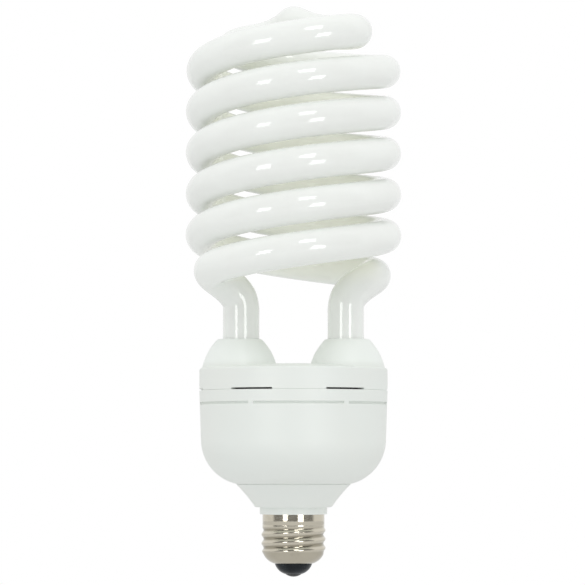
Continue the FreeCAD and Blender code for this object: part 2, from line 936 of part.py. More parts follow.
def make_thermistor():
    centre = board_height - thermistor_drop - thermistor_radius
    start = V(thermistor_place.x, thermistor_place.y - thermistor_thickness / 2, centre)
    disc = Part.makeCylinder(thermistor_radius, thermistor_thickness, start, V(0, 1, 0))
    for side in (1, -1):
        lead_place = thermistor_place + V(side * thermistor_lead_spread, 0, 0)
        disc = disc.fuse(rod(thermistor_lead_radius, centre, board_height, lead_place))
    return disc


def make_rectifier_diodes():
    diodes = []
    height = board_height - diode_board_gap - diode_radius
    for index in range(diode_count):
        shift = (index - (diode_count - 1) / 2) * diode_pitch
        centre = diode_place + at_angle(shift, diode_row_angle, height)
        along = at_angle(1, diode_row_angle + 90, 0)
        half_span = along * (diode_span / 2)
        lift = V(0, 0, board_height - height)
        ends = (centre - half_span, centre + half_span)
        points = [ends[0] + lift, ends[0], ends[1], ends[1] + lift]
        lead = bent_wire(points, diode_lead_radius, diode_lead_radius * 2)
        body = Part.makeCylinder(diode_radius, diode_length, centre - along * (diode_length / 2), along)
        diodes.append(lead.fuse(body).removeSplitter())
    return Part.makeCompound(diodes)


def solder_places():
    # Where leads come through the board.
    places = [live_place, neutral_place]
    for share in transistor_shares.values():
        places.extend(on_board(share) + V(side * transistor_leg_pitch, 0, 0) for side in (-1, 0, 1))
    for share, width, depth, height in film_capacitors.values():
        places.extend(on_board(share) + V(side * (width / 2 - solder_inset), 0, 0) for side in (-1, 1))
    places.extend(bulk_place + V(side * bulk_radius / 2, 0, 0) for side in (-1, 1))
    places.extend(thermistor_place + V(side * thermistor_lead_spread, 0, 0) for side in (-1, 1))
    return places


def make_solder_joints():
    joints = []
    for place in solder_places():
        seat = V(place.x, place.y, board_top)
        joints.append(Part.makeCone(solder_radius, solder_tip_radius, solder_height, seat))
    return Part.makeCompound(joints)


def make_fuse_resistor():
    corner = fuse_edge_round * quarter_share
    edge = fuse_radius - fuse_edge_round
    return turned(
        (0, fuse_bottom),
        (edge, fuse_bottom),
        ((fuse_radius - corner, fuse_bottom + corner), (fuse_radius, fuse_bottom + fuse_edge_round)),
        (fuse_radius, fuse_top - fuse_edge_round),
        ((fuse_radius - corner, fuse_top - corner), (edge, fuse_top)),
        (0, fuse_top),
    )


def make_contact_lead():
    return rod(supply_wire_radius, plug_top + contact_gap + rivet_height, fuse_bottom)


def make_live_wire():
    points = [
        V(0, 0, fuse_top),
        V(0, 0, live_turn_low),
        V(live_place.x, live_place.y, live_turn_high),
        V(live_place.x, live_place.y, board_height),
    ]
    return bent_wire(points, supply_wire_radius, supply_bend)


def make_neutral_wire():
    # From the board down the neck, then out to the shell's wall below the spigot.
    out = V(neutral_place.x, neutral_place.y, 0).normalize()
    turn = 2 * math.pi * neutral_end_height / thread_pitch - math.atan2(out.y, out.x)
    wall = thread_mid_radius - shell_wall + thread_swing * faded(neutral_end_height) * math.sin(turn)
    inside = out * neutral_neck_offset
    points = [
        V(neutral_place.x, neutral_place.y, board_height),
        V(neutral_place.x, neutral_place.y, neutral_turn_high),
        V(inside.x, inside.y, neutral_turn_low),
        V(inside.x, inside.y, neutral_end_height),
        out * (wall - neutral_wall_gap) + V(0, 0, neutral_end_height),
    ]
    return bent_wire(points, supply_wire_radius, neutral_bend)


os.makedirs("parts", exist_ok=True)

save("screw_shell", make_screw_shell())
save("base_insulator", make_base_insulator())
save("center_contact", make_center_contact())
save("lower_housing", make_lower_housing())
save("upper_cover", make_upper_cover())
save("glass_spiral", make_glass_spiral())
for name, place in leg_places.items():
    save("leg_cement_" + name, make_leg_cement(place))
    for end, side in (("inner", -1), ("outer", 1)):
        save("filament_lead_" + name + "_" + end, make_filament_lead(place, side if place.x > 0 else -side))
save("circuit_board", make_circuit_board())
save("wrap_posts", make_wrap_posts())
save("solder_joints", make_solder_joints())
save("bulk_capacitor", make_bulk_capacitor())
save("choke_core", make_choke_core())
save("choke_bobbin", make_choke_bobbin())
save("choke_winding", make_choke_winding())
save("toroid_core", make_toroid_core())
save("toroid_winding", make_toroid_winding())
for name, share in transistor_shares.items():
    save(name, make_transistor(on_board(share)))
for name, (share, width, depth, height) in film_capacitors.items():
    save(name, make_film_capacitor(on_board(share), width, depth, height))
save("filter_inductor_core", make_filter_inductor())
save("filter_inductor_winding", make_filter_winding())
save("thermistor", make_thermistor())
save("rectifier_diodes", make_rectifier_diodes())
save("fuse_resistor", make_fuse_resistor())
save("contact_lead", make_contact_lead())
save("live_wire", make_live_wire())
save("neutral_wire", make_neutral_wire())
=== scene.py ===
import bmesh
import bpy
import json
import math
from mathutils import Matrix, Vector


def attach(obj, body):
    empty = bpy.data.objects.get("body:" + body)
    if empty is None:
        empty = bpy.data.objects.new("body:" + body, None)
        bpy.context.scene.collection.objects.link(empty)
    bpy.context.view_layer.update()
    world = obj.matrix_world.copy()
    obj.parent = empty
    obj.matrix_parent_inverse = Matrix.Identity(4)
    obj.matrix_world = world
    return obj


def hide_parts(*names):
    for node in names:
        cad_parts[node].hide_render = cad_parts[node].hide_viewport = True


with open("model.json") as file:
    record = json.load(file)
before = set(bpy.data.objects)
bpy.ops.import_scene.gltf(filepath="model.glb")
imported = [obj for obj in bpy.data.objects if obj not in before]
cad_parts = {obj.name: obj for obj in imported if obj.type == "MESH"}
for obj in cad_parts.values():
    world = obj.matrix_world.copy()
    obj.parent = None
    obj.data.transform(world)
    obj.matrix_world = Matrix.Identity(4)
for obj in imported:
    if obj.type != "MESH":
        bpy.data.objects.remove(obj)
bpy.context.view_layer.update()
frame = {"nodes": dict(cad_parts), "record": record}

nodes = frame["nodes"]

mm = 0.001
merging = 1e-6  # metres between corners that are made one
edgeLook = {"sharpAngle": 32.0, "roundAngle": 25.0, "segments": 3}  # degrees, and steps of a rounding


# outlines are lists of (radius, height) in millimetres
def arc(centre, radius, start, end, count):
    points = []
    for step in range(count + 1):
        angle = math.radians(start + (end - start) * step / count)
        points.append((centre[0] + radius * math.cos(angle), centre[1] + radius * math.sin(angle)))
    return points


def bowed(first, last, bow, count):
    # from one point to another along a shallow arc that swells sideways by bow
    length = math.hypot(last[0] - first[0], last[1] - first[1])
    aside = ((first[1] - last[1]) / length, (last[0] - first[0]) / length)
    points = []
    for step in range(count + 1):
        share = step / count
        swell = 4 * bow * share * (1 - share)
        points.append((first[0] + (last[0] - first[0]) * share + aside[0] * swell,
                       first[1] + (last[1] - first[1]) * share + aside[1] * swell))
    return points


def spun(outline, steps, start=0.0, turn=360.0):
    # a closed outline turned about the Z axis, closed up if it goes all the way round
    bm = bmesh.new()
    corners = [bm.verts.new((radius * mm, 0.0, height * mm)) for radius, height in outline]
    sides = [bm.edges.new(pair) for pair in zip(corners, corners[1:] + corners[:1])]
    whole = turn == 360.0
    if not whole:
        bm.faces.new(corners)
    bmesh.ops.rotate(bm, verts=corners, cent=(0, 0, 0), matrix=Matrix.Rotation(math.radians(start), 3, "Z"))
    outlineGeometry = corners + sides if whole else bm.faces[:]
    bmesh.ops.spin(bm, geom=outlineGeometry, cent=(0, 0, 0), axis=(0, 0, 1), angle=math.radians(turn),
                   steps=steps, use_merge=whole, use_duplicate=False)
    bmesh.ops.remove_doubles(bm, verts=bm.verts, dist=merging)
    bmesh.ops.recalc_face_normals(bm, faces=bm.faces)
    return bm


def softEdges(bm, width, wanted):
    # rounds the sharp edges that wanted accepts, by their middle's radius and height in millimetres
    edges = []
    for edge in bm.edges:
        middle = (edge.verts[0].co + edge.verts[1].co) / 2 / mm
        if len(edge.link_faces) == 2 and edge.calc_face_angle() > math.radians(edgeLook["roundAngle"]):
            if wanted(middle.xy.length, middle.z):
                edges.append(edge)
    bmesh.ops.bevel(bm, geom=edges, offset=width * mm, offset_type="OFFSET", affect="EDGES",
                    segments=edgeLook["segments"], profile=0.5, material=-1, clamp_overlap=True)


def newPiece(bm, name):
    mesh = bpy.data.meshes.new(name)
    bm.to_mesh(mesh)
    bm.free()
    piece = bpy.data.objects.new(name, mesh)
    bpy.context.collection.objects.link(piece)
    return piece


def cutAway(piece, cutters):
    # takes the cutters out of the piece and removes them
    for cutter in cutters:
        cut = piece.modifiers.new(cutter.name, "BOOLEAN")
        cut.operation = "DIFFERENCE"
        cut.solver = "EXACT"
        cut.object = cutter
    shape = piece.evaluated_get(bpy.context.evaluated_depsgraph_get())
    mesh = bpy.data.meshes.new_from_object(shape)
    mesh.name = piece.name
    piece.modifiers.clear()
    piece.data = mesh
    for cutter in cutters:
        bpy.data.objects.remove(cutter)


def dressed(piece, finish, node):
    # smooth shading that keeps large faces flat and edges crisp, then its material and body, and the CAD node
    # it stands in for is hidden
    piece.data.shade_smooth()
    piece.data.set_sharp_from_angle(angle=math.radians(edgeLook["sharpAngle"]))
    piece.data.materials.clear()
    piece.data.materials.append(finishes[finish])
    even = piece.modifiers.new("evenShading", "WEIGHTED_NORMAL")
    even.keep_sharp = True
    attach(piece, "root")
    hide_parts(node)
    print(piece.name, len(piece.data.polygons), "faces")


# the places round the bulb that the vents and the groove's tabs share, in degrees and faces
vents = {"count": 6, "phase": -26.5, "steps": 312}
stepAngle = 360.0 / vents["steps"]
ventAngles = [-90 + vents["phase"] + 360 / vents["count"] * vent for vent in range(vents["count"])]

# lower housing: the cup, its shallow groove and the collar on the screw shell
cup = {
    "rim": (38.6, 75.9), "side": (37.9, 56.0), "wall": 1.8,
    "shoulder": 18.63, "shoulderEnd": -76.2, "shoulderSteps": 26, "innerSteps": 16,
    "crease": (0.3, 0.22, 0.26),  # how far the flare steps in, then its channel's depth and height
    "neck": (15.7, 28.4), "flareBow": -0.3, "flareSteps": 8,
    "collar": (13.8, 25.5), "spigot": (12.25, 21.2), "spigotLow": (11.8, 20.6), "spigotEnd": 13.0,
    "bore": 10.2, "boreTop": 30.2, "innerNeck": (17.5, 34.8),
    "recess": (37.4, 73.7, 1.0),  # takes the cover's bead: radius, height and reach up and down
    "groove": (70.15, 71.15, 0.9), "grooveCorner": 0.06, "tabFaces": 3,
    "edge": 0.14, "outerEdges": 37.3,  # what is rounded: all outside this radius
    "lowEdges": (13.6, 37.0),  # and all outside this radius and below this height
}


def farFromTabs(middle, tab):
    # the groove stops for a tab under the middle of each vent
    around = math.degrees(math.atan2(middle.y, middle.x))
    return min(abs((around - angle + 180) % 360 - 180) for angle in ventAngles) > tab


def makeCup():
    rim, side, wall = cup["rim"], cup["side"], cup["wall"]
    low, high, depth = cup["groove"]
    centre = (side[0] - cup["shoulder"], side[1])
    shoulder = arc(centre, cup["shoulder"], 0.0, cup["shoulderEnd"], cup["shoulderSteps"])
    creaseStep, creaseDepth, creaseHeight = cup["crease"]
    flareRadius, creaseTop = shoulder[-1][0] - creaseStep, shoulder[-1][1]
    lean = (rim[0] - side[0]) / (rim[1] - side[1])
    recess, recessHeight, recessReach = cup["recess"]
    outline = [rim] + [(side[0] + lean * (height - side[1]), height) for height in (high, low)] + shoulder
    outline += [(flareRadius - creaseDepth, height) for height in (creaseTop, creaseTop - creaseHeight)]
    outline += bowed((flareRadius, creaseTop - creaseHeight), cup["neck"], cup["flareBow"], cup["flareSteps"])
    outline += [(cup["collar"][0], cup["neck"][1]), cup["collar"], (cup["spigot"][0], cup["collar"][1])]
    outline += [cup["spigot"], cup["spigotLow"], (cup["spigotLow"][0], cup["spigotEnd"])]
    outline += [(cup["bore"], cup["spigotEnd"]), (cup["bore"], cup["boreTop"]), cup["innerNeck"]]
    outline += arc(centre, cup["shoulder"] - wall, cup["shoulderEnd"], 0.0, cup["innerSteps"])
    outline += [(rim[0] - wall, recessHeight - recessReach), (recess, recessHeight)]
    outline += [(rim[0] - wall, recessHeight + recessReach), (rim[0] - wall, rim[1])]
    bm = spun(outline, vents["steps"], (ventAngles[0] + stepAngle / 2) % stepAngle)
    tab = stepAngle * cup["tabFaces"] / 2
    groove = []
    for face in bm.faces:
        middle = face.calc_center_median()
        inBand = low < middle.z / mm < high and middle.xy.length / mm > rim[0] - wall / 2
        if inBand and farFromTabs(middle, tab):
            groove.append(face)
    bmesh.ops.inset_region(bm, faces=groove, thickness=cup["grooveCorner"] * mm, depth=-depth * mm,
                           use_boundary=True, use_even_offset=True)
    lowRadius, lowHeight = cup["lowEdges"]
    softEdges(bm, cup["edge"], lambda radius, height:
              radius > cup["outerEdges"] or (radius > lowRadius and height < lowHeight))
    dressed(newPiece(bm, "housingCup"), "housing_white", "lower_housing")


# upper cover: the deck with its rim and vents, and the two holders for the tube's legs
deck = {
    "radius": 38.6, "top": 85.1, "bottom": 75.9, "wall": 1.6, "round": 0.9, "roundSteps": 6, "bevel": 0.25,
    "crown": 2.0, "crownSwell": 0.5, "crownEdge": 34.2, "crownSteps": 10,
    "lip": (36.6, 35.2, 71.7),  # outside, inside and lower end
    "bead": (37.2, 73.7, 0.8),
    "notchTop": 76.6, "notchAngle": 27.5, "notchSteps": 24, "notchBelow": 0.4, "notchPast": 1.0,
    "holeRadius": 13.6, "holeDepth": 10.0, "holeSides": 96,
}
holder = {
    "offset": 22.1, "legOffset": 21.5, "base": 15.3, "top": (9.0, 97.1), "bow": 0.92, "bowSteps": 14,
    "foot": 0.7, "sunk": 0.6,
    "fillet": (0.02, 0.45, 0.16),  # its start over the deck, then its middle: share of the foot and height
    "hole": 7.8, "wall": 1.6, "holeDepth": 2.08, "innerTop": 3.2, "innerSteps": 8, "sides": 128,
    "edge": 0.45, "edgeReach": (0.4, 0.2),  # the rounded edge: past the hole, and how far below the top
    "rimReach": (0.1, 3.0),  # the hole's rim, in the same way
}


def makeDeck():
    radius, top, bottom, wall, rounding = (deck[key] for key in ("radius", "top", "bottom", "wall", "round"))
    lipOuter, lipInner, lipEnd = deck["lip"]
    bead, beadHeight, beadReach = deck["bead"]
    crown = (0.0, top + deck["crown"])
    outline = bowed(crown, (deck["crownEdge"], top), deck["crownSwell"], deck["crownSteps"])
    outline += arc((radius - rounding, top - rounding), rounding, 90.0, 0.0, deck["roundSteps"])
    outline += [(radius, bottom + deck["bevel"]), (radius - deck["bevel"], bottom), (lipOuter, bottom)]
    outline += [(lipOuter, beadHeight + beadReach), (bead, beadHeight), (lipOuter, beadHeight - beadReach)]
    outline += [(lipOuter, lipEnd), (lipInner, lipEnd), (lipInner, top - wall), (0.0, top - wall)]
    piece = newPiece(spun(outline, vents["steps"]), "coverDeck")
    cutters = []
    for side in (-1, 1):
        bm = bmesh.new()
        place = Matrix.Translation((side * holder["offset"] * mm, 0, top * mm))
        bmesh.ops.create_cone(bm, cap_ends=True, segments=deck["holeSides"], radius1=deck["holeRadius"] * mm,
                              radius2=deck["holeRadius"] * mm, depth=deck["holeDepth"] * mm, matrix=place)
        cutters.append(newPiece(bm, "holderHole"))
    inner, outer = lipInner - deck["notchPast"], radius + deck["notchPast"]
    low, high = bottom - deck["notchBelow"], deck["notchTop"]
    for angle in ventAngles:
        start = angle - deck["notchAngle"] / 2
        slot = spun([(inner, low), (outer, low), (outer, high), (inner, high)], deck["notchSteps"], start,
                    deck["notchAngle"])
        cutters.append(newPiece(slot, "ventSlot"))
    cutAway(piece, cutters)
    dressed(piece, "housing_white", "upper_cover")


def makeHolder(name, side):
    base, foot, wall, hole, sunk = (holder[key] for key in ("base", "foot", "wall", "hole", "sunk"))
    top, floorHeight = holder["top"], deck["top"]
    filletStart, filletShare, filletHeight = holder["fillet"]
    outline = [(base + foot, floorHeight - sunk), (base + foot, floorHeight + filletStart)]
    outline += [(base + foot * filletShare, floorHeight + filletHeight)]
    outline += bowed((base, floorHeight + foot), top, -holder["bow"], holder["bowSteps"])
    outline += [(hole, top[1]), (hole, top[1] - holder["holeDepth"])]
    outline += bowed((top[0] - wall, top[1] - holder["innerTop"]), (base - wall, floorHeight - sunk),
                     holder["bow"], holder["innerSteps"])
    bm = spun(outline, holder["sides"])
    past, below = holder["edgeReach"]
    softEdges(bm, holder["edge"], lambda radius, height: radius > hole + past and height > top[1] - below)
    # the hole sits a little nearer the lamp's axis than the dome does
    past, below = holder["rimReach"]
    rim = []
    for corner in bm.verts:
        if corner.co.xy.length < (hole + past) * mm and corner.co.z > (top[1] - below) * mm:
            rim.append(corner)
    bmesh.ops.translate(bm, verts=rim, vec=(side * (holder["legOffset"] - holder["offset"]) * mm, 0, 0))
    bmesh.ops.translate(bm, verts=bm.verts, vec=(side * holder["offset"] * mm, 0, 0))
    dressed(newPiece(bm, name), "housing_white", "upper_cover")


# end of the base: the domed insulator and the rounded solder tip in its middle
baseEnd = {
    "lip": (7.7, 5.4), "bow": 0.85, "bowSteps": 14, "insulatorSides": 128,
    "plug": (8.6, 6.1, 9.3),  # the part held in the shell: radius, bottom and top
    "tip": (3.1, 0.95), "tipBow": 0.24, "tipSteps": 12, "tipSides": 96,
    "shank": 1.1, "gap": 0.05, "rivet": (1.9, 0.6),
}


def makeBaseEnd():
    lip, tip, shank, gap = (baseEnd[key] for key in ("lip", "tip", "shank", "gap"))
    plug, plugBottom, plugTop = baseEnd["plug"]
    rivet, rivetHeight = baseEnd["rivet"]
    outline = [(shank + gap, tip[1] + gap)]
    outline += bowed((tip[0], tip[1] + gap), lip, -baseEnd["bow"], baseEnd["bowSteps"])
    outline += [(lip[0], plugBottom), (plug, plugBottom), (plug, plugTop), (shank + gap, plugTop)]
    insulator = newPiece(spun(outline, baseEnd["insulatorSides"]), "tipInsulator")
    dressed(insulator, "insulator_black", "base_insulator")
    seat = plugTop + gap
    outline = bowed((0.0, 0.0), tip, -baseEnd["tipBow"], baseEnd["tipSteps"])
    outline += [(shank, tip[1]), (shank, seat), (rivet, seat)]
    outline += [(rivet, seat + rivetHeight), (0.0, seat + rivetHeight)]
    contact = newPiece(spun(outline, baseEnd["tipSides"]), "tipContact")
    dressed(contact, "contact_solder", "center_contact")


class Wire:
    # one output socket, so that sums and products of values add their Math nodes
    def __init__(self, shader, socket):
        self.shader = shader
        self.socket = socket

    def math(self, operation, first, second):
        return self.shader.add("Math", {"operation": operation}, {0: first, 1: second})

    def __add__(self, other):
        return self.math("ADD", self, other)

    __radd__ = __add__

    def __sub__(self, other):
        return self.math("SUBTRACT", self, other)

    def __rsub__(self, other):
        return self.math("SUBTRACT", other, self)

    def __mul__(self, other):
        return self.math("MULTIPLY", self, other)

    __rmul__ = __mul__

    def smooth(self, low, high, toLow=0.0, toHigh=1.0):
        settings = {"interpolation_type": "SMOOTHSTEP"}
        return self.shader.add("MapRange", settings, {0: self, 1: low, 2: high, 3: toLow, 4: toHigh})


class Shader:
    def __init__(self, owner):
        owner.use_nodes = True
        self.tree = owner.node_tree
        self.tree.nodes.clear()

    def add(self, kind, settings=None, inputs=None, out=0):
        node = self.tree.nodes.new("ShaderNode" + kind)
        for key, value in (settings or {}).items():
            setattr(node, key, value)
        for key, value in (inputs or {}).items():
            if isinstance(value, Wire):
                self.tree.links.new(value.socket, node.inputs[key])
            elif isinstance(value, tuple) and len(value) == 3 and node.inputs[key].type == "RGBA":
                node.inputs[key].default_value = (*value, 1.0)
            else:
                node.inputs[key].default_value = value
        return Wire(self, node.outputs[out])

    def height(self):
        return self.add("SeparateXYZ", None, {0: self.add("TexCoord", out="Object")}, out="Z")

    def radius(self):
        # distance from the lamp's axis
        where = self.add("TexCoord", out="Object")
        flat = self.add("VectorMath", {"operation": "MULTIPLY"}, {0: where, 1: (1.0, 1.0, 0.0)})
        return self.add("VectorMath", {"operation": "LENGTH"}, {0: flat}, out="Value")

    def noise(self, scale, detail, roughness, stretch=(1.0, 1.0, 1.0)):
        where = self.add("TexCoord", out="Object")
        place = self.add("Mapping", {"vector_type": "POINT"}, {"Vector": where, "Scale": stretch})
        inputs = {"Vector": place, "Scale": scale, "Detail": detail, "Roughness": roughness}
        return self.add("TexNoise", None, inputs)

    def blend(self, factor, first, second):
        settings = {"data_type": "RGBA", "blend_type": "MIX"}
        return self.add("Mix", settings, {0: factor, 6: first, 7: second}, out=2)

    def bump(self, height, strength, distance):
        return self.add("Bump", None, {"Height": height, "Strength": strength, "Distance": distance})

    def surface(self, **sockets):
        inputs = {key.replace("_", " "): value for key, value in sockets.items()}
        self.finish(self.add("BsdfPrincipled", None, inputs))

    def finish(self, shade, kind="OutputMaterial"):
        node = self.tree.nodes.new("ShaderNode" + kind)
        self.tree.links.new(shade.socket, node.inputs["Surface"])


def newMaterial(name):
    material = bpy.data.materials.new(name)
    return material, Shader(material)


# In the looks below a noise is its scale per metre, detail, roughness and stretch, its range is where it
# starts and ends to show, and a bump is its strength and distance. Radii and heights are in metres.

# glass tube, coated white inside, with a painted warm light and a painted glow on the side that faces the
# middle of the coil
glassLook = {
    # inner is a painted warm light for the faces towards the middle of the coil
    "outer": (0.91, 0.935, 0.905), "outerShade": (0.885, 0.905, 0.875), "inner": (0.935, 0.95, 0.88),
    "cloud": (38.0, 4.0, 0.55), "cloudRange": (0.35, 0.7),
    "specks": (900.0, 2.0, 0.6), "speckRange": (0.5, 0.75), "speck": (0.80, 0.80, 0.76), "speckShare": 0.06,
    "smears": (70.0, 3.0, 0.5, (1.0, 1.0, 0.35)), "smearRange": (0.45, 0.8), "smearRoughness": 0.03,
    "waves": (55.0, 2.0, 0.4, (1.0, 1.0, 2.2)), "bump": (0.06, 0.0004), "roughness": 0.025, "ior": 1.5,
    "paintedLightRadius": (0.031, 0.039), "coilBottom": (0.118, 0.128), "coilTop": (0.210, 0.222),
    # a painted glow that stands in for bounced light: its colour towards the middle of the coil and outside,
    # and its strength
    "through": (1.0, 1.0, 0.88), "paintedGlowOutside": (0.12, 0.12, 0.12), "paintedGlowStrength": 0.055,
}


def coatedGlass():
    look = glassLook
    material, shader = newMaterial("coatedGlass")
    height = shader.height()
    within = height.smooth(*look["coilBottom"]) * (1 - height.smooth(*look["coilTop"]))
    paintedInnerLight = (1 - shader.radius().smooth(*look["paintedLightRadius"])) * within
    cloud = shader.noise(*look["cloud"]).smooth(*look["cloudRange"])
    speck = shader.noise(*look["specks"]).smooth(*look["speckRange"])
    smear = shader.noise(*look["smears"]).smooth(*look["smearRange"])
    # painted warm light on the faces towards the middle of the coil
    tint = shader.blend(paintedInnerLight, shader.blend(cloud, look["outer"], look["outerShade"]), look["inner"])
    shader.surface(Base_Color=shader.blend(speck * look["speckShare"], tint, look["speck"]),
                   Roughness=look["roughness"] + smear * look["smearRoughness"], IOR=look["ior"],
                   # a painted glow, stronger towards the middle of the coil
                   Emission_Color=shader.blend(paintedInnerLight, look["paintedGlowOutside"], look["through"]),
                   Emission_Strength=look["paintedGlowStrength"],
                   Normal=shader.bump(shader.noise(*look["waves"]), *look["bump"]))
    return material


# housing and cover: satin moulding, with a painted light that makes it a little lighter on the domes over the
# deck
plasticLook = {
    "colour": (0.835, 0.875, 0.84), "warm": (0.84, 0.87, 0.83),
    "cloud": (22.0, 3.0, 0.5), "cloudRange": (0.3, 0.7),
    # upper is a painted light, a lighter copy of the colour from these heights up
    "upper": (0.90, 0.94, 0.905), "paintedLightHeights": (0.0853, 0.0883),
    "flow": (60.0, 4.0, 0.6, (1.0, 1.0, 0.2)), "flowRange": (0.3, 0.8), "flowRoughness": 0.08,
    "grain": (2400.0, 2.0, 0.6), "grainRoughness": 0.04, "bump": (0.10, 0.00004),
    "roughness": 0.42, "ior": 1.47,
}


def mouldedPlastic():
    look = plasticLook
    material, shader = newMaterial("mouldedPlastic")
    cloud = shader.noise(*look["cloud"]).smooth(*look["cloudRange"])
    grain = shader.noise(*look["grain"])
    flow = shader.noise(*look["flow"]).smooth(*look["flowRange"])
    colour = shader.blend(cloud, look["colour"], look["warm"])
    # painted light: the colour turns lighter over the deck, on the domes
    colour = shader.blend(shader.height().smooth(*look["paintedLightHeights"]), colour, look["upper"])
    rough = look["roughness"] + flow * look["flowRoughness"] + grain * look["grainRoughness"]
    shader.surface(Base_Color=colour, Roughness=rough, IOR=look["ior"],
                   Normal=shader.bump(grain, *look["bump"]))
    return material


# screw shell: nickel plate with dull patches at random, and painted shade in the thread's roots and on the
# foot under it
shellLook = {
    "colour": (0.62, 0.58, 0.485), "dullAndShade": (0.25, 0.225, 0.165), "roughness": 0.05, "dullRoughness": 0.06,
    "threadRadius": (0.0123, 0.0128), "threadStart": (0.0098, 0.0112), "rootShadeShare": 0.75, "footShadeShare": 0.33,
    "patches": (160.0, 4.0, 0.6), "patchRange": (0.5, 0.8), "patchShare": 0.2,
    "rolling": (700.0, 3.0, 0.6, (1.0, 1.0, 6.0)), "rollingRange": (0.4, 0.8), "rollingRoughness": 0.03,
    "bandStart": (0.0211, 0.0229), "bandRise": 10.0,  # where the last turn swells into the plain band
    "bump": (0.5, 0.00004),
}


def platedMetal():
    look = shellLook
    material, shader = newMaterial("platedMetal")
    height = shader.height()
    thread = height.smooth(*look["threadStart"])
    root = (1 - shader.radius().smooth(*look["threadRadius"])) * thread
    patch = shader.noise(*look["patches"]).smooth(*look["patchRange"])
    rolling = shader.noise(*look["rolling"])
    # painted shade in the roots and on the foot, and dull patches at random
    dullAndShade = root * look["rootShadeShare"] + (1 - thread) * look["footShadeShare"] + patch * look["patchShare"]
    rough = look["roughness"] + dullAndShade * look["dullRoughness"]
    rough = rough + rolling.smooth(*look["rollingRange"]) * look["rollingRoughness"]
    relief = height.smooth(*look["bandStart"]) * look["bandRise"] + rolling
    shader.surface(Base_Color=shader.blend(dullAndShade, look["colour"], look["dullAndShade"]), Metallic=1.0, Roughness=rough,
                   Normal=shader.bump(relief, *look["bump"]))
    return material


# insulator: glossy black
insulatorLook = {
    "colour": (0.006, 0.009, 0.012), "pale": (0.016, 0.022, 0.028), "swirl": (260.0, 4.0, 0.6),
    "swirlRange": (0.4, 0.75), "swirlRoughness": 0.1, "roughness": 0.14, "ior": 1.3,
    "pits": (1500.0, 2.0, 0.5), "bump": (0.15, 0.00004),
}


def blackInsulator():
    look = insulatorLook
    material, shader = newMaterial("blackInsulator")
    swirl = shader.noise(*look["swirl"])
    shader.surface(Base_Color=shader.blend(swirl.smooth(*look["swirlRange"]), look["colour"], look["pale"]),
                   Roughness=look["roughness"] + swirl * look["swirlRoughness"], IOR=look["ior"],
                   Normal=shader.bump(shader.noise(*look["pits"]), *look["bump"]))
    return material


# contact: solder, coloured near black as a painted shade, with darker lumps at random
tipLook = {
    # colour is near black: painted shade
    "colour": (0.07, 0.07, 0.07), "dark": (0.045, 0.045, 0.048), "lumps": (620.0, 3.0, 0.6),
    "lumpRange": (0.35, 0.7), "frost": (2600.0, 2.0, 0.6), "frostRoughness": 0.2, "roughness": 0.3,
    "bump": (0.3, 0.0001),
}


def solderedTip():
    look = tipLook
    material, shader = newMaterial("solderedTip")
    lumps = shader.noise(*look["lumps"])
    frost = shader.noise(*look["frost"])
    shader.surface(Base_Color=shader.blend(lumps.smooth(*look["lumpRange"]), look["colour"], look["dark"]),
                   Metallic=1.0, Roughness=look["roughness"] + frost * look["frostRoughness"],
                   Normal=shader.bump(lumps, *look["bump"]))
    return material


# inner finishes: colour, its darker shade, roughness, metallic, size of the mottling per metre
innerLooks = {
    "cement_white": ((0.80, 0.79, 0.73), (0.66, 0.64, 0.58), 0.9, 0.0, 700.0),
    "board_tan": ((0.58, 0.43, 0.24), (0.48, 0.34, 0.18), 0.6, 0.0, 300.0),
    "solder_tin": ((0.66, 0.66, 0.67), (0.48, 0.48, 0.49), 0.25, 1.0, 900.0),
    "lead_tinned": ((0.62, 0.61, 0.58), (0.45, 0.44, 0.42), 0.3, 1.0, 800.0),
    "enamel_copper": ((0.62, 0.28, 0.12), (0.42, 0.17, 0.07), 0.3, 0.7, 600.0),
    "ferrite_black": ((0.06, 0.06, 0.065), (0.03, 0.03, 0.034), 0.7, 0.0, 900.0),
    "bobbin_white": ((0.76, 0.75, 0.70), (0.66, 0.65, 0.60), 0.5, 0.0, 300.0),
    "tape_yellow": ((0.75, 0.52, 0.06), (0.62, 0.42, 0.04), 0.35, 0.0, 200.0),
    "sleeve_black": ((0.022, 0.026, 0.04), (0.012, 0.014, 0.02), 0.3, 0.0, 200.0),
    "epoxy_black": ((0.03, 0.03, 0.032), (0.018, 0.018, 0.02), 0.55, 0.0, 800.0),
    "film_red": ((0.36, 0.06, 0.03), (0.26, 0.04, 0.02), 0.3, 0.0, 250.0),
    "thermistor_green": ((0.05, 0.18, 0.08), (0.03, 0.12, 0.05), 0.35, 0.0, 400.0),
    "fuse_grey": ((0.30, 0.32, 0.31), (0.20, 0.21, 0.21), 0.6, 0.0, 500.0),
    "wire_white": ((0.76, 0.76, 0.73), (0.64, 0.64, 0.60), 0.4, 0.0, 300.0),
    "wire_brown": ((0.12, 0.05, 0.022), (0.08, 0.03, 0.014), 0.4, 0.0, 300.0),
}
innerGrain = {
    "mottleDetail": (4.0, 0.6), "mottleRange": (0.35, 0.7), "finer": 5, "grainDetail": (2.0, 0.5),
    "grainRoughness": 0.15, "bump": (0.25, 0.00005),
}


def innerFinish(name, colour, shade, roughness, metallic, size):
    look = innerGrain
    material, shader = newMaterial(name)
    mottle = shader.noise(size, *look["mottleDetail"]).smooth(*look["mottleRange"])
    grain = shader.noise(size * look["finer"], *look["grainDetail"])
    shader.surface(Base_Color=shader.blend(mottle, colour, shade), Metallic=metallic,
                   Roughness=roughness + (grain - 0.5) * look["grainRoughness"],
                   Normal=shader.bump(grain, *look["bump"]))
    return material


